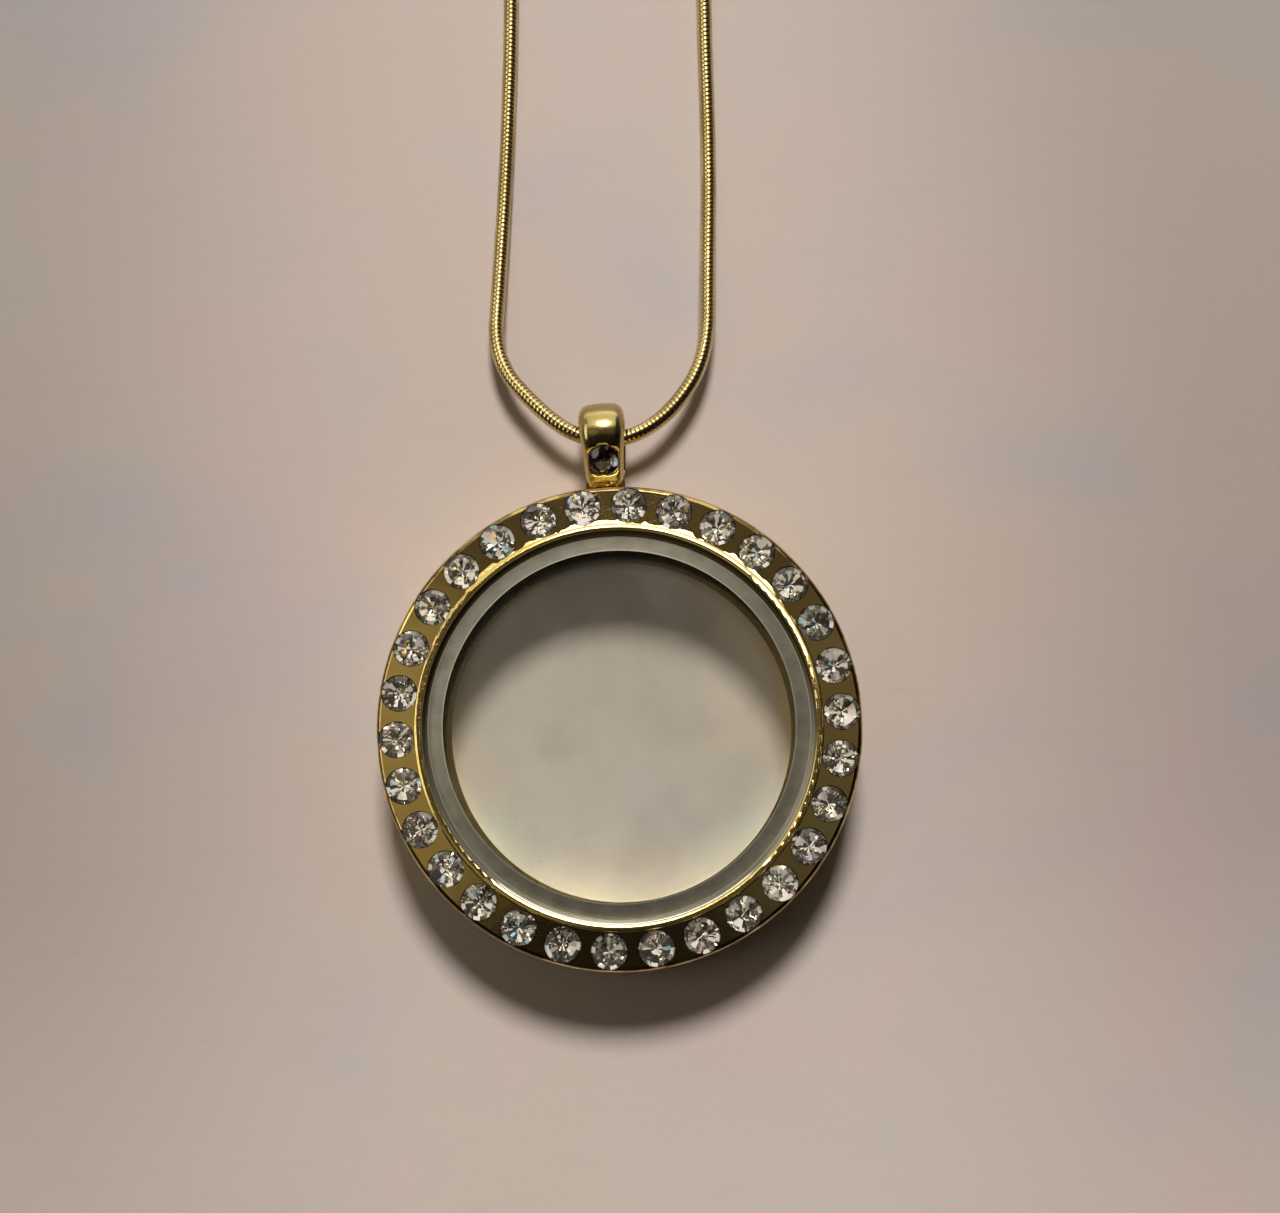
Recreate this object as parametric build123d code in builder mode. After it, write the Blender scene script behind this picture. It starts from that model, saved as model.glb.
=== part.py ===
from build123d import *

import math
import os

# Round glass locket with a stone-set face, lying face up on its snake chain.
# Millimetres. The origin is the centre of the case on the surface it lies on.
# +Z rises out of the face, +Y points to the bail, +X is the right of the face.

# Back half of the case
case_radius = 15.0
back_flange = 0.12
back_height = 3.4
back_edge_round = 0.7
case_wall = 2.7
foot_width = 1.4
foot_thickness = 0.3

# Front half of the case
seam_gap = 0.1
rim_height = 2.7
rim_round = 0.3
seam_round = 0.12
face_rise = 0.15
channel_width = 2.5
lip_height = 0.45
lip_width = 0.35
lip_crown = 0.05
lip_root_round = 0.12
lip_wall = 0.28
lip_draft = 0.04
ledge_width = 0.26
ledge_drop = 0.24
ledge_tip = 0.06

# Glasses
glass_clearance = 0.1
glass_gap = 0.05
back_glass_thickness = 1.0
front_glass_thickness = 1.08
bevel_width = 1.0
bevel_rise = 0.43

# Stones round the face
stone_count = 30
stone_diameter = 2.2
stone_inset = 1.25
stone_clearance = 0.04
stone_sink = 0.06

# Proportions of a cut stone, as shares of its diameter
crown_share = 0.15
girdle_share = 0.03
pavilion_share = 0.43
table_share = 0.56
girdle_sides = 16
facet_sides = 8

# Slopes of the smaller facets against the main ones, in degrees
break_facet_rise = 6
star_facet_drop = 13
lower_facet_rise = 4

# Hinge on the left of the case
hinge_inset = 0.45
hinge_length = 7.2
knuckle_radius = 0.5
knuckle_gap = 0.15
front_knuckle_length = 2.4
hinge_pin_radius = 0.25
hinge_pin_clearance = 0.03
hinge_notch_clearance = 0.4
leaf_thickness = 0.4
leaf_offset = 0.1
leaf_root = 0.5

# Fixed loop on the back half
loop_center_z = 2.3
loop_thickness = 1.0
loop_width = 2.5
loop_wire = 0.5
loop_hole_length = 1.25
loop_wall_cut = 0.1
loop_root = 0.8
loop_corner = 1.05
loop_hole_corner = 0.45

# Bail
bail_width_top = 2.95
bail_width_low = 2.35
bail_wall = 0.75
bail_top_radius = 2.1
bail_low_radius = 1.55
bail_clearance = 0.2
bail_reach = 2.05
bail_lift = 0.6
bail_round = 0.45
bail_neck_gap = 0.15
bail_stone_diameter = 1.95
bail_stone_place = 0.55

# Chain and clasp
chain_diameter = 1.0
clasp_radius = 1.5
clasp_length = 10.0
clasp_round = 0.5
clasp_socket_depth = 1.3
clasp_engagement = 1.0
clasp_socket_clearance = 0.1
clasp_x = 12.0
clasp_distance = 202.1
clasp_lead = 5.0
arc_share = 0.45

# Chain route, from one end of the clasp round through the bail to the other.
# x, distance beyond the bail's middle and height of each chosen point.
# Most of the chain lies on the surface.
floor_z = chain_diameter / 2
bail_pass_z = 2.75
chain_end = clasp_length / 2 - clasp_engagement
chain_lead = chain_end + clasp_lead
chain_route = [
    (clasp_x - chain_end, clasp_distance, clasp_radius),
    (clasp_x - chain_lead, clasp_distance, clasp_radius),
    (-3.6, 198.3, 0.8),
    (-10.6, 189.5, floor_z),
    (-16.2, 175.1, floor_z),
    (-19.2, 154.1, floor_z),
    (-19.2, 130.1, floor_z),
    (-16.3, 106.1, floor_z),
    (-11.3, 83.6, floor_z),
    (-5.6, 63.1, floor_z),
    (-3.8, 44.4, floor_z),
    (-4.35, 30.4, floor_z),
    (-5.35, 19.0, floor_z),
    (-6.2, 11.3, 1.1),
    (-6.8, 5.6, 2.1),
    (-3.85, 1.8, 2.65),
    (-1.5, -0.05, bail_pass_z),
    (1.4, -0.45, bail_pass_z),
    (4.5, 1.2, 2.65),
    (7.1, 4.9, 2.1),
    (7.55, 10.9, 1.1),
    (8.2, 19.2, floor_z),
    (8.55, 30.7, floor_z),
    (9.55, 43.7, floor_z),
    (12.6, 59.8, floor_z),
    (18.4, 78.6, floor_z),
    (27.0, 100.1, floor_z),
    (33.9, 124.1, floor_z),
    (37.2, 148.1, floor_z),
    (36.8, 169.1, floor_z),
    (33.4, 186.1, floor_z),
    (27.8, 197.4, 0.8),
    (clasp_x + chain_lead, clasp_distance, clasp_radius),
    (clasp_x + chain_end, clasp_distance, clasp_radius),
]

# Heights and radii that follow from the sizes above
front_base_z = back_height + seam_gap
rim_z = front_base_z + rim_height
face_top_z = rim_z + face_rise
lip_top_z = face_top_z + lip_height
back_radius = case_radius + back_flange
bore_radius = case_radius - case_wall
back_window_radius = bore_radius - foot_width
stone_circle_radius = case_radius - stone_inset
lip_outer_radius = case_radius - channel_width
lip_inner_radius = lip_outer_radius - lip_width
ledge_top_radius = lip_inner_radius - lip_draft
window_radius = ledge_top_radius - ledge_width
lip_side_z = lip_top_z - lip_crown
ledge_top_z = lip_top_z - lip_wall
ledge_low_z = ledge_top_z - ledge_drop
pocket_z = ledge_low_z - ledge_tip
glass_radius = bore_radius - glass_clearance
face_tilt = math.atan2(face_rise, channel_width)
hinge_x = -(case_radius - hinge_inset)
hinge_z = back_height + seam_gap / 2


def ring_edges(builder, radius, height):
    """Circular edges of the part being built, at one radius and height."""
    circles = builder.part.edges().filter_by(GeomType.CIRCLE)
    return circles.filter_by(
        lambda e: abs(e.radius - radius) < 1e-3 and abs(e.center().Z - height) < 1e-3
    )


def face_plane(turn):
    """Plane on the stone face, at a turn in degrees clockwise from the bail."""
    out_x = math.sin(math.radians(turn))
    out_y = math.cos(math.radians(turn))
    share = (case_radius - stone_circle_radius) / channel_width
    height = rim_z + face_rise * share
    normal = (
        math.sin(face_tilt) * out_x,
        math.sin(face_tilt) * out_y,
        math.cos(face_tilt),
    )
    return Plane(
        origin=(stone_circle_radius * out_x, stone_circle_radius * out_y, height),
        x_dir=(-out_y, out_x, 0),
        z_dir=normal,
    )


def facet_plane(turn, slope, radius, height):
    """Plane of one facet, sloping away from the stone's axis through a given point."""
    around = math.radians(turn)
    lean = math.radians(slope)
    return Plane(
        origin=(radius * math.cos(around), radius * math.sin(around), height),
        z_dir=(
            math.sin(lean) * math.cos(around),
            math.sin(lean) * math.sin(around),
            math.cos(lean),
        ),
    )


def cut_stone(diameter):
    """Round stone with an eight-sided table, its girdle's middle at the origin."""
    radius = diameter / 2
    girdle = diameter * girdle_share / 2
    crown = diameter * crown_share
    pavilion = diameter * pavilion_share
    flat = radius * math.cos(math.pi / girdle_sides)
    table = radius * table_share
    main_slope = math.degrees(math.atan2(crown - girdle, flat - table))
    under_slope = math.degrees(math.atan2(pavilion - girdle, flat))
    eighth = 360 / facet_sides
    # One row for each ring of facets: how many, the first one's turn, the slope,
    # and the radius and height of a point that each facet passes through.
    crown_rings = [
        (facet_sides, 0, main_slope, flat, girdle),
        (girdle_sides, eighth / 4, main_slope + break_facet_rise, flat, girdle),
        (facet_sides, eighth / 2, main_slope - star_facet_drop, table, crown),
    ]
    pavilion_rings = [
        (facet_sides, 0, 180 - under_slope, flat, -girdle),
        (girdle_sides, eighth / 4, 180 - under_slope - lower_facet_rise, flat, -girdle),
    ]
    with BuildPart() as stone:
        with BuildSketch(Plane.XY.offset(-pavilion)):
            RegularPolygon(radius, girdle_sides, rotation=eighth / 4)
        extrude(amount=pavilion + crown)
        for count, first, slope, through, height in crown_rings + pavilion_rings:
            for step in range(count):
                turn = first + step * 360 / count
                split(bisect_by=facet_plane(turn, slope, through, height), keep=Keep.BOTTOM)
    return stone.part


def stone_seat(diameter):
    """Round hole with a conical floor that a stone drops into with a small clearance."""
    radius = diameter / 2 + stone_clearance
    girdle = diameter * girdle_share / 2 + stone_clearance
    pavilion = diameter * pavilion_share + stone_clearance * 2
    open_height = diameter * crown_share + stone_sink + stone_clearance
    with BuildPart() as seat:
        with BuildSketch(Plane.XZ):
            with BuildLine():
                Polyline(
                    (0, -pavilion),
                    (radius, -girdle),
                    (radius, open_height),
                    (0, open_height),
                    close=True,
                )
            make_face()
        revolve(axis=Axis.Z)
    return seat.part


def hinge_rod(radius, length):
    """Round rod along the hinge's axis, centred on the middle of the hinge."""
    with BuildPart() as rod:
        with BuildSketch(Plane(origin=(hinge_x, 0, hinge_z), x_dir=(1, 0, 0), z_dir=(0, 1, 0))):
            Circle(radius)
        extrude(amount=length / 2, both=True)
    return rod.part


def knuckle(low_y, length, leaf_side):
    """One hinge knuckle with its leaf. leaf_side is 1 above the seam, -1 below."""
    leaf_length = hinge_notch_clearance + knuckle_radius + leaf_root
    leaf_low_z = hinge_z + leaf_offset if leaf_side > 0 else hinge_z - leaf_offset - leaf_thickness
    with BuildPart() as barrel:
        with BuildSketch(Plane(origin=(hinge_x, low_y, hinge_z), x_dir=(1, 0, 0), z_dir=(0, 1, 0))):
            Circle(knuckle_radius)
        extrude(amount=length)
        with BuildSketch(Plane(origin=(hinge_x, low_y, leaf_low_z))):
            Rectangle(leaf_length, length, align=(Align.MIN, Align.MIN))
        extrude(amount=leaf_thickness)
    return barrel.part


os.makedirs("parts", exist_ok=True)

notch_length = hinge_length + 2 * knuckle_gap
back_knuckle_length = (hinge_length - front_knuckle_length) / 2 - knuckle_gap
hinge_channel = hinge_rod(knuckle_radius + hinge_notch_clearance, notch_length)
hinge_bore = hinge_rod(hinge_pin_radius + hinge_pin_clearance, notch_length)
back_knuckle_starts = (-hinge_length / 2, hinge_length / 2 - back_knuckle_length)
back_knuckles = [knuckle(low_y, back_knuckle_length, -1) for low_y in back_knuckle_starts]
front_knuckle = knuckle(-front_knuckle_length / 2, front_knuckle_length, 1)

# Back half: a ring with a foot that holds the back glass, two hinge knuckles and the loop
loop_hole_low = back_radius - loop_wall_cut
loop_hole_high = loop_hole_low + loop_hole_length
with BuildPart() as back_case:
    with BuildSketch(Plane.XZ):
        with BuildLine():
            Polyline(
                (back_window_radius, 0),
                (back_radius, 0),
                (back_radius, back_height),
                (bore_radius, back_height),
                (bore_radius, foot_thickness),
                (back_window_radius, foot_thickness),
                close=True,
            )
        make_face()
    revolve(axis=Axis.Z)
    fillet(ring_edges(back_case, back_radius, 0), back_edge_round)
    fillet(ring_edges(back_case, back_radius, back_height), seam_round)
    with BuildSketch(Plane.XY.offset(loop_center_z - loop_thickness / 2)) as loop_outline:
        with Locations((0, back_radius - loop_root)):
            Rectangle(
                loop_width,
                loop_root - loop_wall_cut + loop_hole_length + loop_wire,
                align=(Align.CENTER, Align.MIN),
            )
        fillet(loop_outline.vertices().group_by(Axis.Y)[-1], loop_corner)
    extrude(amount=loop_thickness)
    with BuildSketch(Plane.XY.offset(loop_center_z - loop_thickness)) as loop_hole:
        with Locations((0, loop_hole_low)):
            Rectangle(
                loop_width - 2 * loop_wire,
                loop_hole_length,
                align=(Align.CENTER, Align.MIN),
            )
        fillet(loop_hole.vertices().group_by(Axis.Y)[-1], loop_hole_corner)
    extrude(amount=loop_thickness * 2, mode=Mode.SUBTRACT)
    add(hinge_channel, mode=Mode.SUBTRACT)
    add(back_knuckles)
    add(hinge_bore, mode=Mode.SUBTRACT)
back_case.part.label = "back_case"
export_step(back_case.part, "parts/back_case.step")

# Back glass: a plain disc resting on the foot
back_glass_z = foot_thickness + glass_gap
with BuildPart() as back_glass:
    with BuildSketch(Plane.XY.offset(back_glass_z)):
        Circle(glass_radius)
    extrude(amount=back_glass_thickness)
back_glass.part.label = "back_glass"
export_step(back_glass.part, "parts/back_glass.step")

# Front half: side wall, nearly flat stone face, crowned lip and a ledge that holds the glass
stone_turn = 360 / stone_count
stone_planes = [face_plane((number + 0.5) * stone_turn) for number in range(stone_count)]
seat_planes = [plane.offset(-stone_sink) for plane in stone_planes]
face_seat = stone_seat(stone_diameter)
with BuildPart() as front_bezel:
    with BuildSketch(Plane.XZ):
        with BuildLine():
            Polyline(
                (lip_inner_radius, lip_side_z),
                (ledge_top_radius, ledge_top_z),
                (window_radius, ledge_low_z),
                (window_radius, pocket_z),
                (bore_radius, pocket_z),
                (bore_radius, front_base_z),
                (case_radius, front_base_z),
                (case_radius, rim_z),
                (lip_outer_radius, face_top_z),
                (lip_outer_radius, lip_side_z),
            )
            ThreePointArc(
                (lip_outer_radius, lip_side_z),
                ((lip_outer_radius + lip_inner_radius) / 2, lip_top_z),
                (lip_inner_radius, lip_side_z),
            )
        make_face()
    revolve(axis=Axis.Z)
    fillet(ring_edges(front_bezel, case_radius, rim_z), rim_round)
    fillet(ring_edges(front_bezel, case_radius, front_base_z), seam_round)
    fillet(ring_edges(front_bezel, lip_outer_radius, face_top_z), lip_root_round)
    for seat_plane in seat_planes:
        with Locations(seat_plane):
            add(face_seat, mode=Mode.SUBTRACT)
    add(hinge_channel, mode=Mode.SUBTRACT)
    add(front_knuckle)
    add(hinge_bore, mode=Mode.SUBTRACT)
front_bezel.part.label = "front_bezel"
export_step(front_bezel.part, "parts/front_bezel.step")

# Front glass: a disc with a broad bevel round its flat top
glass_edge_z = pocket_z - glass_gap
glass_table_z = glass_edge_z + bevel_rise
glass_under_z = glass_table_z - front_glass_thickness
with BuildPart() as front_glass:
    with BuildSketch(Plane.XZ):
        with BuildLine():
            Polyline(
                (0, glass_under_z),
                (glass_radius, glass_under_z),
                (glass_radius, glass_edge_z),
                (window_radius, glass_edge_z),
                (window_radius - bevel_width, glass_table_z),
                (0, glass_table_z),
                close=True,
            )
        make_face()
    revolve(axis=Axis.Z)
front_glass.part.label = "front_glass"
export_step(front_glass.part, "parts/front_glass.step")

# Crystals of the face, one node each
face_stone = cut_stone(stone_diameter)
for number, plane in enumerate(seat_planes, start=1):
    with BuildPart() as crystal:
        with Locations(plane):
            add(face_stone)
    crystal.part.label = f"crystal_{number:02d}"
    export_step(crystal.part, f"parts/crystal_{number:02d}.step")

# Hinge pin: a plain rod through all three knuckles
with BuildPart() as hinge_pin:
    add(hinge_rod(hinge_pin_radius, hinge_length))
hinge_pin.part.label = "hinge_pin"
export_step(hinge_pin.part, "parts/hinge_pin.step")

# Bail: a tapered band bent round the chain and through the fixed loop
bail_low_y = loop_hole_high - bail_clearance - bail_wall + bail_low_radius
bail_low_z = loop_center_z
bail_top_y = bail_low_y + bail_reach
bail_top_z = bail_low_z + bail_lift
bail_span = math.hypot(bail_reach, bail_lift)
bail_rise = math.atan2(bail_lift, bail_reach)
front_normal = bail_rise + math.acos((bail_low_radius - bail_top_radius) / bail_span)
front_y = math.cos(front_normal)
front_z = math.sin(front_normal)
stone_reach = bail_low_radius + (bail_top_radius - bail_low_radius) * bail_stone_place
bail_stone_plane = Plane(
    origin=(
        0,
        bail_low_y + bail_reach * bail_stone_place + stone_reach * front_y,
        bail_low_z + bail_lift * bail_stone_place + stone_reach * front_z,
    ),
    x_dir=(1, 0, 0),
    z_dir=(0, front_y, front_z),
).offset(-stone_sink)
bail_end_y = bail_low_y - bail_low_radius
bail_crest_y = bail_top_y + bail_top_radius
neck_height = loop_thickness + 2 * bail_neck_gap
neck_side = loop_width / 2 - loop_wire - bail_neck_gap
bail_seat = stone_seat(bail_stone_diameter)
with BuildPart() as bail:
    with BuildSketch(Plane.YZ):
        with Locations((bail_top_y, bail_top_z)):
            Circle(bail_top_radius)
        with Locations((bail_low_y, bail_low_z)):
            Circle(bail_low_radius)
        make_hull()
    extrude(amount=bail_width_top, both=True)
    with BuildSketch(Plane.XY):
        with BuildLine():
            Polyline(
                (-bail_width_low / 2, bail_end_y),
                (bail_width_low / 2, bail_end_y),
                (bail_width_top / 2, bail_top_y),
                (bail_width_top / 2, bail_crest_y),
                (-bail_width_top / 2, bail_crest_y),
                (-bail_width_top / 2, bail_top_y),
                close=True,
            )
        make_face()
    extrude(amount=bail_top_z + bail_top_radius, mode=Mode.INTERSECT)
    fillet(bail.faces().filter_by(Axis.Z, reverse=True).edges(), bail_round)
    with BuildSketch(Plane.YZ):
        with Locations((bail_top_y, bail_top_z)):
            Circle(bail_top_radius - bail_wall)
        with Locations((bail_low_y, bail_low_z)):
            Circle(bail_low_radius - bail_wall)
        make_hull()
    extrude(amount=bail_width_top, both=True, mode=Mode.SUBTRACT)
    with Locations(bail_stone_plane):
        add(bail_seat, mode=Mode.SUBTRACT)
    with BuildSketch(Plane.XY.offset(loop_center_z - neck_height / 2)):
        with Locations((neck_side, bail_end_y), (-neck_side - bail_width_low, bail_end_y)):
            Rectangle(bail_width_low, bail_low_radius, align=(Align.MIN, Align.MIN))
    extrude(amount=neck_height, mode=Mode.SUBTRACT)
bail.part.label = "bail"
export_step(bail.part, "parts/bail.step")

# Crystal in the bail
with BuildPart() as bail_crystal:
    with Locations(bail_stone_plane):
        add(cut_stone(bail_stone_diameter))
bail_crystal.part.label = "bail_crystal"
export_step(bail_crystal.part, "parts/bail_crystal.step")

# Snake chain: a round tube along the route, each arc as large as its two runs allow
route_points = [Vector(x, bail_top_y + beyond, height) for x, beyond, height in chain_route]
route_runs = [b - a for a, b in zip(route_points, route_points[1:])]
route_radii = []
for before, after in zip(route_runs, route_runs[1:]):
    half_turn = math.radians(before.get_angle(after)) / 2
    shorter = min(before.length, after.length)
    route_radii.append(arc_share * shorter / math.tan(half_turn))
with BuildPart() as chain:
    with BuildLine() as chain_line:
        FilletPolyline(*route_points, radius=route_radii)
    with BuildSketch(Plane(origin=route_points[0], z_dir=route_runs[0])):
        Circle(chain_diameter / 2)
    sweep()
chain.part.label = "chain"
export_step(chain.part, "parts/chain.step")

# Clasp: a plain barrel with a socket at each end
with BuildPart() as clasp:
    clasp_plane = Plane(
        origin=(clasp_x, bail_top_y + clasp_distance, clasp_radius),
        x_dir=(0, 1, 0),
        z_dir=(1, 0, 0),
    )
    with BuildSketch(clasp_plane):
        Circle(clasp_radius)
    extrude(amount=clasp_length / 2, both=True)
    fillet(clasp.edges(), clasp_round)
    socket_radius = chain_diameter / 2 + clasp_socket_clearance
    for side in (-1, 1):
        with BuildSketch(clasp_plane.offset(side * clasp_length / 2)):
            Circle(socket_radius)
        extrude(amount=-side * clasp_socket_depth, mode=Mode.SUBTRACT)
clasp.part.label = "clasp"
export_step(clasp.part, "parts/clasp.step")

section_area = math.pi * chain_diameter**2 / 4
chain_length = chain_line.wire().length
volume_share = chain.part.volume / (section_area * chain_length)
print("chain radii, mm:", [round(radius, 1) for radius in route_radii])
print("chain length, mm:", round(chain_length, 1))
print("chain volume over section times length:", round(volume_share, 4))
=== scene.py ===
import math

import bpy
import numpy as np
from mathutils import Matrix, Vector


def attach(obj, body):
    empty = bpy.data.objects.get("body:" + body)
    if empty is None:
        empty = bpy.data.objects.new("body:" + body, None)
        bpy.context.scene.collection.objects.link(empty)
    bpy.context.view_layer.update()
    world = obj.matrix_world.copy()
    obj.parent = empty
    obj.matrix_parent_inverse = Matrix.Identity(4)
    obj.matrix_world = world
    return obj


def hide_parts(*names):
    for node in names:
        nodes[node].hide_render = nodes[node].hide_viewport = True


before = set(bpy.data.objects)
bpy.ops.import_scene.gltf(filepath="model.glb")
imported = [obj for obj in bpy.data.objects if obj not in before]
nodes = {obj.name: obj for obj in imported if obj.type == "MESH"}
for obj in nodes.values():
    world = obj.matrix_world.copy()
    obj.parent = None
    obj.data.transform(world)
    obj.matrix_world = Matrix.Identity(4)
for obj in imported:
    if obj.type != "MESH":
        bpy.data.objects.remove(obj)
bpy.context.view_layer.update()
scene = bpy.context.scene

MM = 0.001
BLACK = (0.0, 0.0, 0.0, 1.0)

# ---- Camera: above the locket, leaning a little towards the bail --------------------------

IMAGE_WIDTH_PX = 1280
SENSOR_MM = 36.0
CAMERA_PLACE = Vector((3.0, -8.0, 130.0)) * MM
CAMERA_LEAN = (-0.01011, 0.12358)
CAMERA_ROLL = 0.06262
FOCAL_PX = 2010.9

ahead = Vector((CAMERA_LEAN[0], CAMERA_LEAN[1], -1.0)).normalized()
upward = Vector((math.sin(CAMERA_ROLL), math.cos(CAMERA_ROLL), 0.0))
upward = (upward - ahead * upward.dot(ahead)).normalized()
rightward = ahead.cross(upward)
camera_data = bpy.data.cameras.new("camera")
camera_data.sensor_width = SENSOR_MM
camera_data.lens = FOCAL_PX / IMAGE_WIDTH_PX * SENSOR_MM
camera_data.clip_start = 0.005
camera_data.clip_end = 20.0
camera = bpy.data.objects.new("camera", camera_data)
scene.collection.objects.link(camera)
turn = Matrix((rightward, upward, -ahead)).transposed().to_4x4()
camera.matrix_world = Matrix.Translation(CAMERA_PLACE) @ turn
scene.camera = camera
scene.view_settings.view_transform = "Standard"
scene.view_settings.look = "None"
scene.cycles.caustics_refractive = False


# ---- Node helpers -------------------------------------------------------------------------


class Graph:
    """A material's or world's nodes, with short ways to add and join them."""

    def __init__(self, tree):
        self.tree = tree
        tree.nodes.clear()

    def add(self, kind, inputs=None, **settings):
        """A new node, each input either linked to a socket or set to a value."""
        node = self.tree.nodes.new(kind)
        for name, value in settings.items():
            setattr(node, name, value)
        for name, value in (inputs or {}).items():
            if isinstance(value, bpy.types.NodeSocket):
                self.tree.links.new(value, node.inputs[name])
            else:
                node.inputs[name].default_value = value
        return node

    def math(self, operation, *values):
        inputs = dict(enumerate(values))
        return self.add("ShaderNodeMath", inputs, operation=operation).outputs[0]

    def vector(self, operation, *values, scale=None):
        inputs = dict(enumerate(values))
        if scale is not None:
            inputs["Scale"] = scale
        return self.add("ShaderNodeVectorMath", inputs, operation=operation).outputs[0]

    def measure(self, operation, *values):
        """A number that is worked out from vectors: a length, a distance or a dot product."""
        inputs = dict(enumerate(values))
        return self.add("ShaderNodeVectorMath", inputs, operation=operation).outputs["Value"]

    def parts(self, vector):
        return self.add("ShaderNodeSeparateXYZ", {0: vector}).outputs

    def ramp(self, value, low, high, to_low=0.0, to_high=1.0, smooth=False):
        kind = "SMOOTHSTEP" if smooth else "LINEAR"
        inputs = {
            "Value": value,
            "From Min": low,
            "From Max": high,
            "To Min": to_low,
            "To Max": to_high,
        }
        return self.add("ShaderNodeMapRange", inputs, interpolation_type=kind).outputs["Result"]

    def mix(self, share, a, b, blend="MIX"):
        inputs = {0: share, 6: a, 7: b}
        return self.add("ShaderNodeMix", inputs, data_type="RGBA", blend_type=blend).outputs[2]

    def times(self, a, b):
        return self.mix(1.0, a, b, "MULTIPLY")

    def millimetres(self, stretch=(1.0, 1.0, 1.0)):
        """Object coordinates in millimetres, so that noise scales read in cycles a millimetre."""
        place = self.add("ShaderNodeTexCoord").outputs["Object"]
        scale = tuple(s / MM for s in stretch)
        return self.add("ShaderNodeMapping", {"Vector": place, "Scale": scale}).outputs["Vector"]

    def radius(self, where):
        """Distance from the case's axis, in millimetres."""
        return self.measure("LENGTH", self.vector("MULTIPLY", where, (1.0, 1.0, 0.0)))

    def outward(self):
        """The surface's outward direction, the same from inside a piece as from outside it."""
        facing = self.add("ShaderNodeTexCoord").outputs["Normal"]
        behind = self.add("ShaderNodeNewGeometry").outputs["Backfacing"]
        return self.vector("SCALE", facing, scale=self.math("MULTIPLY_ADD", behind, -2.0, 1.0))

    def blend(self, share, a, b):
        return self.add("ShaderNodeMixShader", {0: share, 1: a, 2: b}).outputs[0]

    def see_through(self, shader, tint):
        """A shader that lamp light and soft light pass straight through."""
        passing = self.add("ShaderNodeBsdfTransparent", {"Color": tint}).outputs["BSDF"]
        path = self.add("ShaderNodeLightPath").outputs
        light = self.math("MAXIMUM", path["Is Shadow Ray"], path["Is Diffuse Ray"])
        return self.blend(light, shader, passing)

    def principled(self, **inputs):
        """The usual surface shader, its inputs named with underscores for spaces."""
        named = {name.replace("_", " "): value for name, value in inputs.items()}
        return self.add("ShaderNodeBsdfPrincipled", named).outputs["BSDF"]

    def band(self, where, inner, outer, low):
        """One on a ring between two radii and above a height, and zero elsewhere."""
        radius = self.radius(where)
        outside = self.ramp(radius, inner, inner + 0.01)
        inside = self.ramp(radius, outer, outer - 0.01)
        above = self.ramp(self.parts(where)["Z"], low, low + 0.02)
        return self.math("MULTIPLY", self.math("MULTIPLY", outside, inside), above)

    def noise(self, where, scale, detail=3.0, roughness=0.55):
        inputs = {"Vector": where, "Scale": scale, "Detail": detail, "Roughness": roughness}
        return self.add("ShaderNodeTexNoise", inputs).outputs["Fac"]

    def bump(self, height, strength, distance_mm, normal=None):
        inputs = {"Height": height, "Strength": strength, "Distance": distance_mm * MM}
        if normal is not None:
            inputs["Normal"] = normal
        return self.add("ShaderNodeBump", inputs).outputs["Normal"]

    def finish(self, shader):
        output = self.add("ShaderNodeOutputMaterial")
        self.tree.links.new(shader, output.inputs["Surface"])


def material(name):
    made = bpy.data.materials.new(name)
    made.use_nodes = True
    return made, Graph(made.node_tree)


def dress(obj, made):
    obj.data.materials.clear()
    obj.data.materials.append(made)


# ---- Gold ---------------------------------------------------------------------------------

SPECK_BROWN = (0.42, 0.29, 0.10, 1.0)
# Painted shade for the chain's grooves
GROOVE_PAINTED_SHADE = (0.16, 0.11, 0.04, 1.0)
RIM_BROWN = (0.20, 0.12, 0.055, 1.0)
# Painted shade and painted highlight of the ledge, for its far and near sides
LEDGE_PAINTED_SHADE = (0.20, 0.155, 0.075, 1.0)
LEDGE_PAINTED_HIGHLIGHT = (0.88, 0.86, 0.79, 1.0)

# Rings of the bezel: inner radius, outer radius and lowest height, in millimetres
LEDGE_RING = (11.84, 12.13, 6.2)
LIP_RING = (12.13, 12.54, 6.68)
RIM_RING = (14.70, 15.20, 5.90)
FACE_LOW = 6.20

# How far the lip's surface seems to lean, and how far that spills past it, between no spill
# and full spill along Y, in millimetres
LIP_LEAN = 0.29
SPILL_WIDTH = 0.29
SPILL_START = (3.0, 9.0)


def lip_direction(g, place, ring):
    """Directions that lean towards the bail on the lip and, near the bail, raggedly past it."""
    plain = g.add("ShaderNodeNewGeometry").outputs["Normal"]
    leaning = g.vector("MULTIPLY_ADD", plain, (1.0, 1.0, 2.0), (0.0, LIP_LEAN, 0.0))
    at = g.parts(place)
    ragged = g.ramp(g.noise(place, 0.8, 2.5), 0.40, 0.60, 0.0, SPILL_WIDTH)
    reach = g.math("MULTIPLY", ragged, g.ramp(at["Y"], *SPILL_START))
    edge = ring[1]
    within = g.ramp(g.math("SUBTRACT", g.radius(place), reach), edge, edge - 0.02)
    beyond = g.ramp(g.radius(place), edge, edge + 0.01)
    on_face = g.ramp(at["Z"], FACE_LOW, FACE_LOW + 0.02)
    spilt = g.math("MULTIPLY", g.math("MULTIPLY", within, beyond), on_face)
    share = g.math("MAXIMUM", g.band(place, *ring), spilt)
    inputs = {0: share, 4: plain, 5: leaning}
    mixed = g.add("ShaderNodeMix", inputs, data_type="VECTOR").outputs[1]
    return g.vector("NORMALIZE", mixed)


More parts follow.
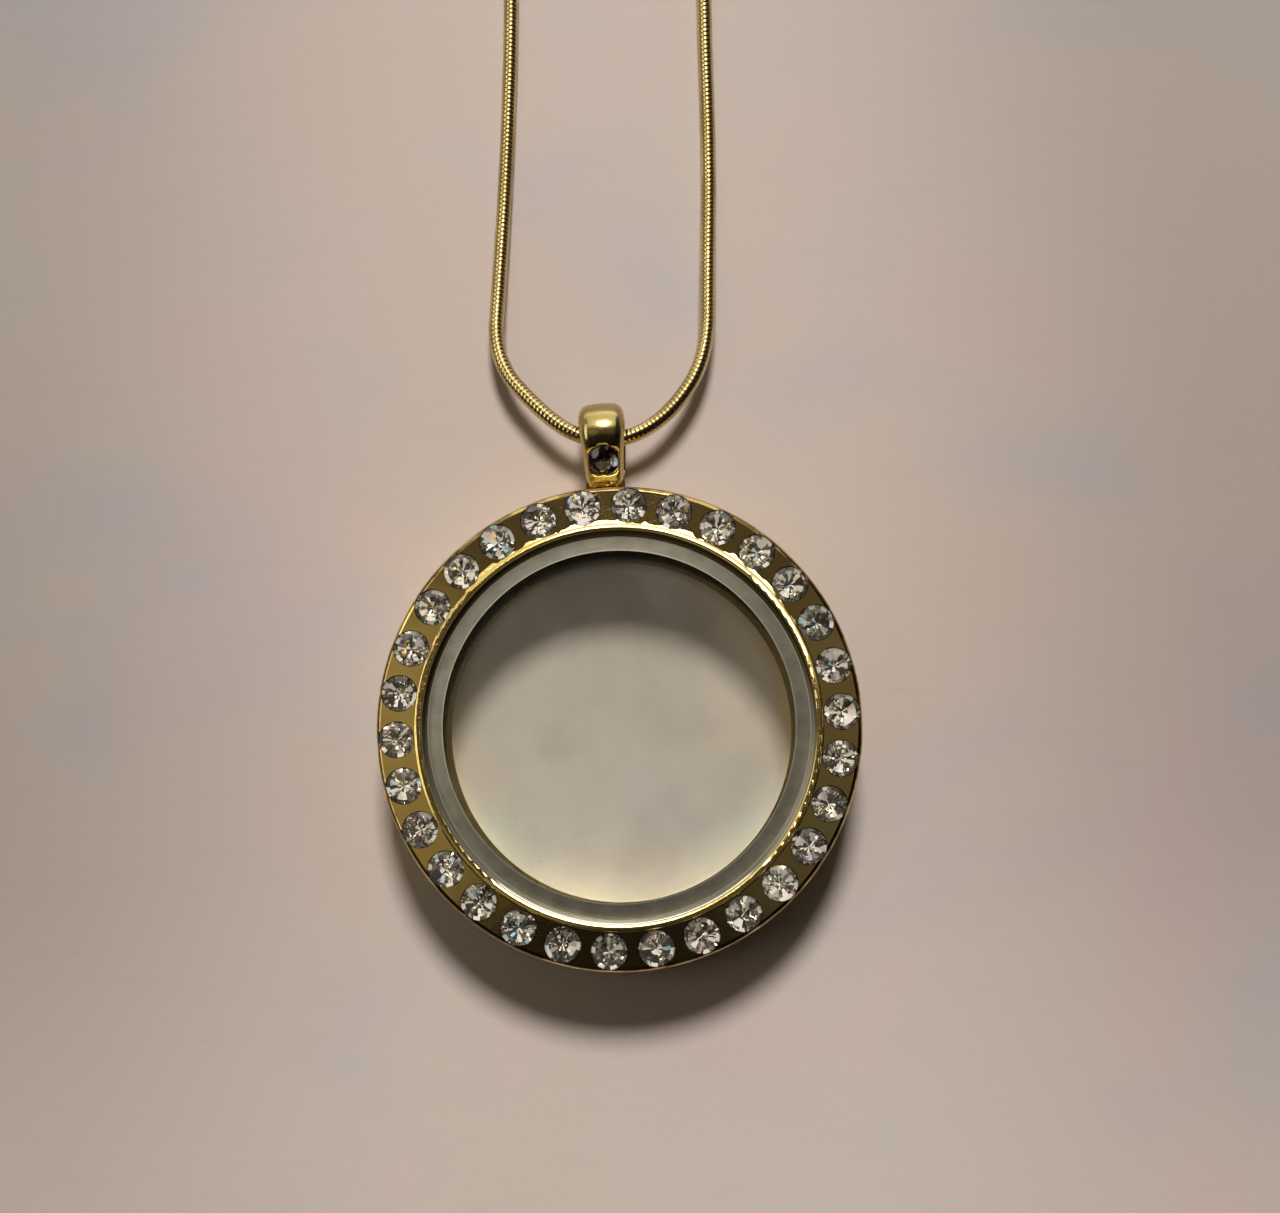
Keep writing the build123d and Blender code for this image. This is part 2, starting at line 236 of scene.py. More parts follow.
def gold(name, light, deep, rough, wear, ripple, shaded_grooves=False, ledge=None, lip=None, rim=None):
    """Polished plating: a warm metal with faint colour drift, hairlines and wear.

    It can have painted shade in its grooves, a ledge with painted shade on its far side and a
    painted highlight on its near side, a lip that catches light from the bail's side and a rim
    dulled in patches.
    """
    made, g = material(name)
    place = g.millimetres()
    drift = g.noise(place, 0.35, 2.0)
    speck = g.noise(place, 9.0, 4.0, 0.7)
    brushed = g.noise(g.millimetres((1.0, 9.0, 5.0)), 2.2, 3.0, 0.6)
    crossed = g.noise(g.millimetres((8.0, 1.2, 5.0)), 1.9, 3.0, 0.6)
    hairs = g.math("MAXIMUM", g.ramp(brushed, 0.60, 0.66), g.ramp(crossed, 0.61, 0.67))
    colour = g.mix(g.ramp(drift, 0.35, 0.65), light, deep)
    colour = g.mix(g.ramp(speck, 0.62, 0.75, 0.0, 0.25), colour, SPECK_BROWN)
    if shaded_grooves:
        # Painted shade: the colour darker deeper in the grooves between the ribs.
        groove = g.add("ShaderNodeAttribute", attribute_name="groove").outputs["Fac"]
        colour = g.mix(g.ramp(groove, 0.2, 1.0, 0.0, 0.6), colour, GROOVE_PAINTED_SHADE)
    if ledge is not None:
        # Painted light on the ledge: painted shade on its far side, a painted highlight on its
        # near side.
        near_side_highlight = g.ramp(g.parts(place)["Y"], 4.0, -7.0, smooth=True)
        colour = g.mix(g.band(place, *ledge), colour, g.mix(near_side_highlight, LEDGE_PAINTED_SHADE, LEDGE_PAINTED_HIGHLIGHT))
    if rim is not None:
        dull = g.ramp(g.noise(place, 0.42, 2.5), 0.40, 0.58, 0.25, 0.85, smooth=True)
        colour = g.mix(g.math("MULTIPLY", g.band(place, *rim), dull), colour, RIM_BROWN)
    roughness = g.ramp(drift, 0.3, 0.7, rough, rough * 1.7)
    roughness = g.math("ADD", roughness, g.math("MULTIPLY", hairs, wear))
    roughness = g.math("ADD", roughness, g.ramp(speck, 0.6, 0.8, 0.0, wear))
    upright = None if lip is None else lip_direction(g, place, lip)
    waves = g.bump(g.noise(place, 0.55, 1.0), ripple, 0.05, upright)
    surface = g.bump(hairs, 0.05, 0.01, waves)
    g.finish(g.principled(Base_Color=colour, Metallic=1.0, Roughness=roughness, Normal=surface))
    return made


# ---- Glass --------------------------------------------------------------------------------

HAZE_GREY = (0.80, 0.80, 0.79, 1.0)
FILM_GREY = (0.60, 0.65, 0.65, 1.0)
FILM_END = (10.6, 9.6)
BEVEL_LIGHT = (0.25, 0.24, 0.195, 1.0)
BEVEL_DEEP = (0.18, 0.17, 0.135, 1.0)
BEVEL_EDGE = (0.40, 0.385, 0.32, 1.0)
BEVEL_UPNESS = (0.5, 0.97)


def ground_bevel(g, place, clear, inner, outer):
    """The clear shader with a ground grey surface where the glass slopes."""
    radius = g.radius(place)
    height = g.parts(g.outward())["Z"]
    not_flat = g.math("LESS_THAN", height, BEVEL_UPNESS[1])
    not_steep = g.math("GREATER_THAN", height, BEVEL_UPNESS[0])
    inner_edge = g.ramp(radius, inner + 0.10, inner + 0.04)
    outer_edge = g.ramp(radius, outer - 0.12, outer - 0.05)
    streak = g.noise(place, 0.9, 3.0)
    grey = g.mix(g.ramp(streak, 0.35, 0.7), BEVEL_LIGHT, BEVEL_DEEP)
    grey = g.mix(g.math("MAXIMUM", inner_edge, outer_edge), grey, BEVEL_EDGE)
    ground = g.principled(Base_Color=grey, Metallic=0.35, Roughness=0.45)
    return g.blend(g.math("MULTIPLY", not_flat, not_steep), clear, ground)


def clear_glass(name, tint, haze, veil, bevel=None):
    """Clear glass that lets lamp light through, with faint smears, dust and a thin film.

    The bevel, if any, is given by its two radii in millimetres.
    """
    made, g = material(name)
    place = g.millimetres()
    smear = g.noise(g.millimetres((1.0, 0.45, 1.0)), 0.25, 4.0, 0.6)
    dust = g.noise(place, 14.0, 2.0, 0.5)
    roughness = g.ramp(smear, 0.45, 0.75, 0.0, 0.035)
    roughness = g.math("ADD", roughness, g.ramp(dust, 0.76, 0.80, 0.0, 0.25))
    breath = g.noise(place, 0.11, 2.5, 0.5)
    hazed = g.mix(g.ramp(breath, 0.42, 0.62, 0.0, haze, smooth=True), tint, HAZE_GREY)
    glass = g.principled(
        Base_Color=hazed, Roughness=roughness, IOR=1.5, Transmission_Weight=1.0
    )
    film = g.add("ShaderNodeBsdfDiffuse", {"Color": FILM_GREY}).outputs["BSDF"]
    patchy = g.ramp(smear, 0.35, 0.75, 0.6 * veil, 1.5 * veil)
    share = g.math("MULTIPLY", patchy, g.ramp(g.radius(place), *FILM_END))
    clear = g.see_through(g.blend(share, glass, film), tint)
    g.finish(clear if bevel is None else ground_bevel(g, place, clear, *bevel))
    return made


# ---- Crystals -----------------------------------------------------------------------------

CRYSTAL_TINT = (0.98, 0.98, 1.0, 1.0)
FOIL_WEDGES = 16
FOIL_RINGS = 3
FOIL_LEAN = 0.75
# Painted shade for some foil cells
FOIL_PAINTED_SHADE = (0.10, 0.085, 0.07, 1.0)
SILVER = (1.0, 0.99, 0.96, 1.0)
# Colour of a painted highlight on the foil
PAINTED_GLINT_BLUE = (0.80, 0.95, 1.0, 1.0)

# The colours that a foil cell can flash, each with its place on the ramp; the blue and violet
# ones are painted fire, colour that stands in for light split by the crystal
FOIL_AND_PAINTED_FIRE_STOPS = [
    (0.0, (0.30, 0.75, 1.0, 1.0)),
    (0.05, (0.93, 0.97, 1.0, 1.0)),
    (0.50, (1.0, 0.98, 0.93, 1.0)),
    (0.96, (1.0, 0.97, 0.90, 1.0)),
    (1.0, (0.80, 0.60, 1.0, 1.0)),
]


def foil_chances(g, place):
    """Random numbers for each cell of the foil, in wedges and rings round the stone's middle."""
    one_stone = g.add("ShaderNodeObjectInfo").outputs["Random"]
    across = g.parts(g.vector("SUBTRACT", place, (0.5, 0.5, 0.0)))
    angle = g.math("ARCTAN2", across["Y"], across["X"])
    flat = g.add("ShaderNodeCombineXYZ", {"X": across["X"], "Y": across["Y"]}).outputs[0]
    ring = g.math("FLOOR", g.math("MULTIPLY", g.measure("LENGTH", flat), 2.0 * FOIL_RINGS))
    shifted = g.math("ADD", angle, g.math("MULTIPLY", ring, math.pi / FOIL_WEDGES))
    wedge = g.math("FLOOR", g.math("MULTIPLY", shifted, FOIL_WEDGES / (2 * math.pi)))
    cell = g.add("ShaderNodeCombineXYZ", {"X": wedge, "Y": ring}).outputs[0]
    inputs = {"Vector": cell, "W": one_stone}
    return g.add("ShaderNodeTexWhiteNoise", inputs, noise_dimensions="4D").outputs


def foil_and_painted_fire_colour(g, chance):
    """One of the colours that a foil cell can flash, from foil tints to painted fire in blue and
    violet.
    """
    fire = g.add("ShaderNodeValToRGB", {"Fac": chance})
    elements = fire.color_ramp.elements
    for element, stop in ((elements[0], FOIL_AND_PAINTED_FIRE_STOPS[0]), (elements[1], FOIL_AND_PAINTED_FIRE_STOPS[-1])):
        element.position, element.color = stop
    for position, colour in FOIL_AND_PAINTED_FIRE_STOPS[1:-1]:
        elements.new(position).color = colour
    return fire.outputs["Color"]


def crystal_material(name, foil, silver_share, painted_glint_at=None):
    """Cut crystal over a foil: wedges that mirror at different tilts, some darkened as painted
    shade, and a few silvery ones.

    The spot of the painted glint, if any, is the middle of a painted highlight on the foil, in
    Generated coordinates.
    """
    made, g = material(name)
    below = g.math("LESS_THAN", g.parts(g.outward())["Z"], -0.05)
    place = g.add("ShaderNodeTexCoord").outputs["Generated"]
    chances = foil_chances(g, place)
    other = g.add("ShaderNodeSeparateColor", {0: chances["Color"]}).outputs
    scuff = g.noise(g.millimetres(), 6.0, 3.0)
    body = g.principled(
        Base_Color=CRYSTAL_TINT,
        Roughness=g.ramp(scuff, 0.4, 0.8, 0.0, 0.04),
        IOR=1.62,
        Transmission_Weight=1.0,
    )
    front = g.see_through(body, CRYSTAL_TINT)
    tinted = g.times(foil_and_painted_fire_colour(g, chances["Value"]), foil)
    # Painted shade: some foil cells darkened at random.
    shaded = g.mix(g.ramp(other["Blue"], 0.30, 0.60), FOIL_PAINTED_SHADE, tinted)
    lean = g.vector("SUBTRACT", chances["Color"], (0.5, 0.5, 0.5))
    lean = g.vector("SCALE", lean, scale=FOIL_LEAN)
    surface = g.add("ShaderNodeNewGeometry").outputs["Normal"]
    leaning = g.vector("NORMALIZE", g.vector("ADD", surface, lean))
    mirror = g.principled(Base_Color=shaded, Metallic=1.0, Roughness=0.08, Normal=leaning)
    dim = g.times(tinted, SILVER)
    silver = g.principled(Base_Color=dim, Roughness=0.5, Specular_IOR_Level=0.2)
    silver_from = 1.0 - silver_share
    share = g.ramp(other["Green"], silver_from, silver_from + 0.1, 0.03, 0.9)
    back = g.blend(share, mirror, silver)
    if painted_glint_at is not None:
        # Painted highlight: a pale blue patch on the foil.
        painted_glint = g.principled(Base_Color=PAINTED_GLINT_BLUE, Roughness=0.3)
        back = g.blend(g.ramp(g.measure("DISTANCE", place, painted_glint_at), 0.22, 0.12), back, painted_glint)
    g.finish(g.blend(below, front, back))
    return made


# ---- Looks of the CAD nodes that are shown as they are ------------------------------------

PLATING_LIGHT = (0.86, 0.69, 0.32, 1.0)
PLATING_DEEP = (0.80, 0.60, 0.23, 1.0)

case_gold = gold("case_gold", PLATING_LIGHT, PLATING_DEEP, rough=0.06, wear=0.07, ripple=0.16)
bezel_gold = gold(
    "bezel_gold",
    PLATING_LIGHT,
    PLATING_DEEP,
    rough=0.06,
    wear=0.04,
    ripple=0.14,
    ledge=LEDGE_RING,
    lip=LIP_RING,
    rim=RIM_RING,
)
front_glass_look = clear_glass(
    "front_glass_look", (0.985, 0.995, 0.98, 1.0), haze=0.65, veil=0.05, bevel=(10.85, 11.85)
)
back_glass_look = clear_glass("back_glass_look", (0.985, 0.995, 0.985, 1.0), haze=0.1, veil=0.01)
crystal_look = crystal_material("crystal_look", (0.94, 0.91, 0.85, 1.0), silver_share=0.25)
# The bail's crystal has a painted highlight on its foil.
bail_crystal_look = crystal_material(
    "bail_crystal_look", (0.10, 0.07, 0.12, 1.0), silver_share=0.1, painted_glint_at=(0.80, 0.50, 0.35)
)

own_looks = {
    "bail_crystal": bail_crystal_look,
    "front_glass": front_glass_look,
    "back_glass": back_glass_look,
    "front_bezel": bezel_gold,
}
for name, obj in nodes.items():
    if name.startswith("crystal_"):
        dress(obj, crystal_look)
    elif name not in ("chain", "bail"):
        dress(obj, own_looks.get(name, case_gold))

# ---- Snake chain --------------------------------------------------------------------------

# The chain's route in millimetres, from one end of the clasp to the other
CHAIN_ROUTE = [
    (8.0, 221.02, 1.5),
    (3.0, 221.02, 1.5),
    (-3.6, 217.22, 0.8),
    (-10.6, 208.42, 0.5),
    (-16.2, 194.02, 0.5),
    (-19.2, 173.02, 0.5),
    (-19.2, 149.02, 0.5),
    (-16.3, 125.02, 0.5),
    (-11.3, 102.52, 0.5),
    (-5.6, 82.02, 0.5),
    (-3.8, 63.32, 0.5),
    (-4.35, 49.32, 0.5),
    (-5.35, 37.92, 0.5),
    (-6.2, 30.22, 1.1),
    (-6.8, 24.52, 2.1),
    (-3.85, 20.72, 2.65),
    (-1.5, 18.87, 2.75),
    (1.4, 18.47, 2.75),
    (4.5, 20.12, 2.65),
    (7.1, 23.82, 2.1),
    (7.55, 29.82, 1.1),
    (8.2, 38.12, 0.5),
    (8.55, 49.62, 0.5),
    (9.55, 62.62, 0.5),
    (12.6, 78.72, 0.5),
    (18.4, 97.52, 0.5),
    (27.0, 119.02, 0.5),
    (33.9, 143.02, 0.5),
    (37.2, 167.02, 0.5),
    (36.8, 188.02, 0.5),
    (33.4, 205.02, 0.5),
    (27.8, 216.32, 0.8),
    (21.0, 221.02, 1.5),
    (16.0, 221.02, 1.5),
]

# A rib's outline: share of the pitch along the chain, and radius
RIB_ROWS = ((0.0, 0.477), (0.14, 0.493), (0.5, 0.499), (0.86, 0.493))
RIB_PITCH = 0.30
RIB_SIDES = 16
RIB_WAVE = 0.08
ROUTE_ORDER = 3
ROUTE_STEPS = 40
AHEAD_STEP = 0.1


def route_line(points):
    """The smooth line that a NURBS spline draws along the route, as an array in millimetres."""
    curve = bpy.data.curves.new("route", "CURVE")
    curve.dimensions = "3D"
    curve.resolution_u = ROUTE_STEPS
    spline = curve.splines.new("NURBS")
    spline.points.add(len(points) - 1)
    for point, place in zip(spline.points, points):
        point.co = (*place, 1.0)
    spline.order_u = ROUTE_ORDER
    spline.use_endpoint_u = True
    holder = bpy.data.objects.new("route", curve)
    mesh = bpy.data.meshes.new_from_object(holder)
    line = np.array([v.co for v in mesh.vertices], float)
    bpy.data.meshes.remove(mesh)
    bpy.data.objects.remove(holder)
    bpy.data.curves.remove(curve)
    return line


def along(line, distances):
    """Points of a line at the given distances from its start, and the line's length."""
    steps = np.linalg.norm(np.diff(line, axis=0), axis=1)
    moved = steps > 1e-9
    line = line[np.concatenate([[True], moved])]
    travelled = np.concatenate([[0.0], np.cumsum(steps[moved])])
    places = np.stack([np.interp(distances, travelled, line[:, k]) for k in range(3)], 1)
    return places, travelled[-1]


def snake_chain():
    """A round snake chain: saddle-shaped rings in a row, each a rib with a groove after it."""
    line = route_line(CHAIN_ROUTE)
    length = along(line, [0.0])[1]
    ribs = round(length / RIB_PITCH)
    pitch = length / ribs
    starts = np.arange(ribs)[:, None] * pitch
    shares = np.array([share for share, radius in RIB_ROWS])
    rows = np.concatenate([(starts + shares * pitch).ravel(), [length]])
    radii = np.concatenate([np.tile([r for share, r in RIB_ROWS], ribs), [RIB_ROWS[0][1]]])
    places = along(line, rows)[0]
    before = along(line, np.clip(rows - AHEAD_STEP, 0, length))[0]
    after = along(line, np.clip(rows + AHEAD_STEP, 0, length))[0]
    ahead_of = after - before
    ahead_of /= np.linalg.norm(ahead_of, axis=1)[:, None]
    side = np.cross(ahead_of, (0.0, 0.0, 1.0))
    side /= np.linalg.norm(side, axis=1)[:, None]
    over = np.cross(side, ahead_of)
    around = np.arange(RIB_SIDES) * 2 * math.pi / RIB_SIDES
    wave = RIB_WAVE * np.cos(2 * around)
    taper = np.clip(np.minimum(rows, length - rows) / pitch, 0, 1)
    sideways = side[:, None] * np.cos(around)[None, :, None]
    ring = sideways + over[:, None] * np.sin(around)[None, :, None]
    shape = places[:, None] + ring * radii[:, None, None]
    shape = shape + ahead_of[:, None] * (wave[None, :] * taper[:, None])[..., None]
    index = np.arange(len(rows) * RIB_SIDES).reshape(len(rows), RIB_SIDES)
    turned = np.roll(index, -1, axis=1)
    corners = (index[:-1], index[1:], turned[1:], turned[:-1])
    faces = np.stack(corners, -1).reshape(-1, 4).tolist()
    faces.append(index[0].tolist())
    faces.append(index[-1][::-1].tolist())
    mesh = bpy.data.meshes.new("snake_chain")
    mesh.from_pydata((shape.reshape(-1, 3) * MM).tolist(), [], faces)
    mesh.update()
    mesh.polygons.foreach_set("use_smooth", [True] * (len(faces) - 2) + [False, False])
    groove = mesh.attributes.new("groove", "FLOAT", "POINT")
    crest = max(r for share, r in RIB_ROWS)
    depth = crest - min(r for share, r in RIB_ROWS)
    groove.data.foreach_set("value", np.repeat((crest - radii) / depth, RIB_SIDES))
    made = bpy.data.objects.new("snake_chain", mesh)
    scene.collection.objects.link(made)
    return made


chain_gold = gold(
    "chain_gold",
    (0.70, 0.56, 0.27, 1.0),
    (0.50, 0.37, 0.165, 1.0),
    rough=0.16,
    wear=0.06,
    ripple=0.06,
    shaded_grooves=True,
)
chain = snake_chain()
dress(chain, chain_gold)
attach(chain, "back_half")
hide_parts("chain")

# ---- Bail ---------------------------------------------------------------------------------

# The band's outline from the side: two arcs, each a middle (Y, Z) and a radius, joined by
# straight runs, in millimetres
BAIL_TOP = (18.92, 2.90, 2.10)
BAIL_LOW = (16.87, 2.30, 1.55)
BAIL_WIDTHS = (2.95, 2.35)
BAIL_SHRINK = 0.01
BAIL_CROWN_RADIUS = 5.0
BAIL_CORNER = 0.55
BAIL_SHARP_DEGREES = 35
ARC_STEPS = 28
CROWN_STEPS = 13
CORNER_STEPS = 6


def bail_outline():
    """The band seen from the side, as (middle Y, middle Z, radius, angle) for each point."""
    top_y, top_z, top_radius = BAIL_TOP
    low_y, low_z, low_radius = BAIL_LOW
    span = math.hypot(top_y - low_y, top_z - low_z)
    rise = math.atan2(top_z - low_z, top_y - low_y)
    opening = math.acos((low_radius - top_radius) / span)
    outline = []
    for y, z, radius, start, end in (
        (top_y, top_z, top_radius, rise - opening, rise + opening),
        (low_y, low_z, low_radius, rise + opening, rise - opening + 2 * math.pi),
    ):
        for angle in np.linspace(start, end, ARC_STEPS):
            outline.append((y, z, radius - BAIL_SHRINK, angle))
    return outline


def bail_section():
    """The band seen along its run, as (share of the half width, drop at a corner)."""
    half_crown = 1.0 - BAIL_CORNER / (BAIL_WIDTHS[0] / 2)
    crown = [(x, 0.0) for x in np.linspace(-half_crown, half_crown, CROWN_STEPS).tolist()]
    edge = []
    for angle in np.linspace(0, math.pi / 2, CORNER_STEPS + 1)[1:]:
        out = half_crown + (1 - half_crown) * math.sin(angle)
        edge.append((out, BAIL_CORNER * (1 - math.cos(angle))))
    return [(-x, drop) for x, drop in reversed(edge)] + crown + edge


def bail_envelope():
    """The outside of the bail's band with a domed crown and rounded corners, as a closed mesh."""
    outline, section = bail_outline(), bail_section()
    wide, narrow = BAIL_WIDTHS
    bottom = BAIL_LOW[0] - BAIL_LOW[2]
    vertices = []
    for y, z, radius, angle in outline:
        upness = (y + radius * math.cos(angle) - bottom) / (BAIL_TOP[0] - bottom)
        upness = min(max(upness, 0.0), 1.0)
        half = (narrow + (wide - narrow) * upness) / 2 - BAIL_SHRINK
        for share, drop in section:
            x = share * half
            sag = BAIL_CROWN_RADIUS - math.sqrt(BAIL_CROWN_RADIUS**2 - x**2) + drop
            out_y = y + (radius - sag) * math.cos(angle)
            out_z = z + (radius - sag) * math.sin(angle)
            vertices.append((x * MM, out_y * MM, out_z * MM))
    index = np.arange(len(vertices)).reshape(len(outline), len(section))
    following = np.roll(index, -1, axis=0)
    corners = (index[:, :-1], index[:, 1:], following[:, 1:], following[:, :-1])
    faces = np.stack(corners, -1).reshape(-1, 4).tolist()
    faces.append(index[:, 0].tolist())
    faces.append(index[::-1, -1].tolist())
    mesh = bpy.data.meshes.new("bail_envelope")
    mesh.from_pydata(vertices, [], faces)
    mesh.update()
    return bpy.data.objects.new("bail_envelope", mesh)


def bail_band():
    """The band: the CAD bail, with its slots and stone seat, cut back to the domed envelope."""
    envelope = bail_envelope()
    made = bpy.data.objects.new("bail_band", nodes["bail"].data.copy())
    for obj in (made, envelope):
        scene.collection.objects.link(obj)
    made.matrix_world = nodes["bail"].matrix_world
    cut = made.modifiers.new("dome", "BOOLEAN")
    cut.operation = "INTERSECT"
    cut.solver = "EXACT"
    cut.object = envelope
    bpy.context.view_layer.update()
    seen = made.evaluated_get(bpy.context.evaluated_depsgraph_get())
    shaped = bpy.data.meshes.new_from_object(seen)
    made.modifiers.remove(cut)
    made.data = shaped
    bpy.data.objects.remove(envelope)
    shaped.polygons.foreach_set("use_smooth", [True] * len(shaped.polygons))
    shaped.set_sharp_from_angle(angle=math.radians(BAIL_SHARP_DEGREES))
    return made


bail_gold = gold(
    "bail_gold",
    (0.56, 0.46, 0.23, 1.0),
    (0.50, 0.37, 0.15, 1.0),
    rough=0.16,
    wear=0.08,
    ripple=0.10,
)
band = bail_band()
dress(band, bail_gold)
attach(band, "back_half")
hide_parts("bail")

# ---- Floor --------------------------------------------------------------------------------

FLOOR_HALF = 1.5
FLOOR_DROP = 0.01 * MM
PAPER_WARM = (0.60, 0.51, 0.455, 1.0)
PAPER_COOL = (0.585, 0.53, 0.48, 1.0)
PATCH_VIOLET = (0.50, 0.485, 0.52, 1.0)
BLUSH_ROSE = (0.64, 0.50, 0.47, 1.0)
FIBRE_BROWN = (0.44, 0.38, 0.33, 1.0)
# Painted shade along crease lines
CREASE_PAINTED_SHADE = (0.44, 0.39, 0.36, 1.0)

# Factors on the paper's colour: a lift everywhere, painted light below the locket, and painted
# shade and a painted glow under the window's near half
LIFT_ALL = (1.06, 1.06, 1.07, 1.0)
NEAR_PAINTED_LIGHT = (1.26, 1.26, 1.26, 1.0)
WINDOW_PAINTED_SHADE = (0.90, 0.95, 0.99, 1.0)
WINDOW_PAINTED_GLOW = (1.13, 1.26, 1.30, 1.0)


def paper_colour(g, place, fibre):
    """Pale paper with faint blotches and fibres, and painted shade along crease lines."""
    cloud = g.noise(place, 0.018, 2.0)
    patch = g.noise(g.millimetres((1.0, 1.4, 1.0)), 0.035, 2.5)
    blush = g.noise(g.millimetres((1.3, 1.0, 2.0)), 0.030, 2.5)
    # Painted shade: darker lines where creases would fold.
    crease_shade = g.noise(g.millimetres((0.35, 2.6, 1.0)), 0.35, 3.0, 0.6)
    colour = g.mix(g.ramp(cloud, 0.35, 0.65), PAPER_WARM, PAPER_COOL)
    colour = g.mix(g.ramp(patch, 0.50, 0.68, 0.0, 0.7), colour, PATCH_VIOLET)
    colour = g.mix(g.ramp(blush, 0.52, 0.70, 0.0, 0.6), colour, BLUSH_ROSE)
    colour = g.mix(g.ramp(fibre, 0.35, 0.75, 0.0, 0.12), colour, FIBRE_BROWN)
    return g.mix(g.ramp(crease_shade, 0.55, 0.75, 0.0, 0.10), colour, CREASE_PAINTED_SHADE)


def lit_paper(g, place, colour):
    """The paper's colour with painted shade away from the locket, painted light below it, and
    painted light and shade inside its window.
    """
    up = g.parts(place)["Y"]
    # Painted shade: the paper darkened away from the locket, less so below it.
    away = g.measure("LENGTH", g.vector("MULTIPLY", place, (1.0, 0.3, 0.0)))
    dimmest = g.ramp(up, -34.0, -8.0, 0.12, 0.28)
    dimmer = g.math("MULTIPLY", g.ramp(away, 12.0, 44.0, smooth=True), dimmest)
    colour = g.mix(dimmer, colour, BLACK)
    # Painted light: the paper brighter below the locket.
    nearing = g.ramp(up, 5.0, -32.0, smooth=True)
    nearer = g.math("MULTIPLY", nearing, g.ramp(up, -140.0, -60.0, smooth=True))
    colour = g.mix(nearer, g.times(colour, LIFT_ALL), g.times(colour, NEAR_PAINTED_LIGHT))
    # Painted light under the window's near half: a painted glow near its edge, painted shade
    # further in.
    radius = g.radius(place)
    in_case = g.ramp(radius, 14.0, 12.0)
    near_half = g.math("MULTIPLY", g.ramp(up, -2.0, -7.0, smooth=True), in_case)
    at_edge = g.ramp(radius, 8.2, 10.4, smooth=True)
    seen = g.mix(at_edge, g.times(colour, WINDOW_PAINTED_SHADE), g.times(colour, WINDOW_PAINTED_GLOW))
    return g.mix(near_half, colour, seen)


def paper_material():
    made, g = material("paper")
    place = g.millimetres()
    fibre = g.noise(g.millimetres((1.0, 2.2, 1.0)), 1.6, 4.0, 0.65)
    sheet = g.principled(
        Base_Color=lit_paper(g, place, paper_colour(g, place, fibre)),
        Roughness=0.8,
        Specular_IOR_Level=0.25,
        Normal=g.bump(fibre, 0.25, 0.03),
    )
    g.finish(sheet)
    return made


floor_mesh = bpy.data.meshes.new("floor")
floor_corners = [
    (x * FLOOR_HALF, y * FLOOR_HALF, -FLOOR_DROP) for x, y in [(-1, -1), (1, -1), (1, 1), (-1, 1)]
]
floor_mesh.from_pydata(floor_corners, [], [(0, 1, 2, 3)])
floor = bpy.data.objects.new("floor", floor_mesh)
scene.collection.objects.link(floor)
dress(floor, paper_material())

# ---- Light --------------------------------------------------------------------------------

LOOK_AT = Vector((0.0, 0.0, 4.0)) * MM
WARM_WHITE = (1.0, 0.935, 0.885)
FILL_WHITE = (1.0, 0.93, 0.86)
GLINT_YELLOW = (1.0, 0.95, 0.80)
CARD_YELLOW = (1.0, 0.93, 0.72)
HORIZON_WHITE = (1.0, 0.97, 0.88)


def lamp(name, colour, from_zenith, azimuth, distance, diameter, power):
    """A round lamp, from_zenith degrees off the vertical, its azimuth measured from +Y to +X."""
    low = math.radians(from_zenith)
    round_to = math.radians(azimuth)
    flat_x, flat_y = math.sin(low) * math.sin(round_to), math.sin(low) * math.cos(round_to)
    out = Vector((flat_x, flat_y, math.cos(low)))
    data = bpy.data.lights.new(name, "AREA")
    data.shape = "DISK"
    data.size = diameter
    data.energy = power
    data.color = colour
    made = bpy.data.objects.new(name, data)
    scene.collection.objects.link(made)
    made.location = LOOK_AT + out * distance
    made.rotation_mode = "QUATERNION"
    made.rotation_quaternion = (-out).to_track_quat("-Z", "Y")
    return made


def card(name, colour, from_zenith, azimuth, distance, wide, tall, brightness):
    """A flat card that only polished surfaces and stones see, wide across and tall upwards."""
    power = brightness * math.pi * wide * tall
    made = lamp(name, colour, from_zenith, azimuth, distance, wide, power)
    made.data.shape = "RECTANGLE"
    made.data.size_y = tall
    away = (made.location - LOOK_AT).normalized()
    across = away.cross(Vector((0.0, 0.0, 1.0))).normalized()
    turned = Matrix((across, away.cross(across), away)).transposed()
    made.rotation_quaternion = turned.to_quaternion()
    made.visible_diffuse = False
    made.visible_camera = False
    return made


LAMP_DISTANCE = 0.50

key = lamp(
    "key",
    WARM_WHITE,
    from_zenith=35.5,
    azimuth=6.0,
    distance=LAMP_DISTANCE,
    diameter=0.115,
    power=2.16,
)
key.visible_glossy = False
fill = lamp(
    "left_fill",
    FILL_WHITE,
    from_zenith=30.0,
    azimuth=275.0,
    distance=LAMP_DISTANCE,
    diameter=0.20,
    power=0.10,
)
fill.visible_glossy = False
glint = lamp(
    "glint",
    GLINT_YELLOW,
    from_zenith=34.0,
    azimuth=4.0,
    distance=LAMP_DISTANCE,
    diameter=0.12,
    power=0.54,
)
glint.data.shape = "ELLIPSE"
glint.data.size_y = 0.18
glint.visible_diffuse = False

